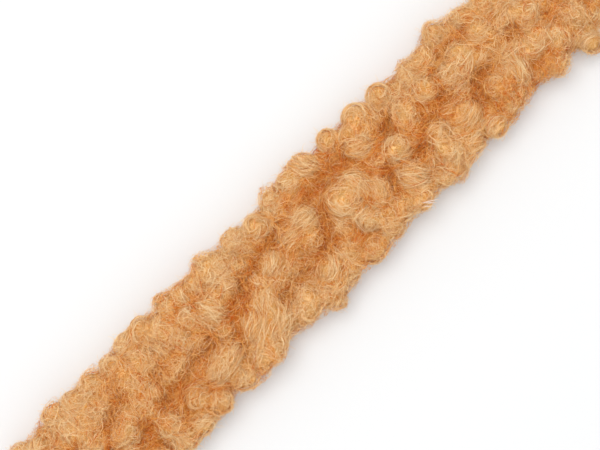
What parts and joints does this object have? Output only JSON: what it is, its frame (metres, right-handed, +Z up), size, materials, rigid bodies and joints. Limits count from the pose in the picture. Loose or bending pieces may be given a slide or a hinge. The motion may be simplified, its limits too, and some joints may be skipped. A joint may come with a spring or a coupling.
{
  "type": "faux fur trim",
  "caption": "Cut length of curly faux fur trim: dense pile of felted curls on a narrow knitted backing strip, lying flat.",
  "frame": {"origin": "middle of the backing's underside, on the surface the trim lies on", "axes": "+X runs along the trim, +Y across it, +Z up out of the pile"},
  "size_m": [0.2497, 0.0451, 0.0175],
  "materials": {
    "pile": "matte curly synthetic fibre, warm honey tan",
    "backing": "matte knitted ground cloth, light tan"
  },
  "bodies": {
    "root": {"pile": "pile", "backing": "backing"}
  },
  "joints": []
}
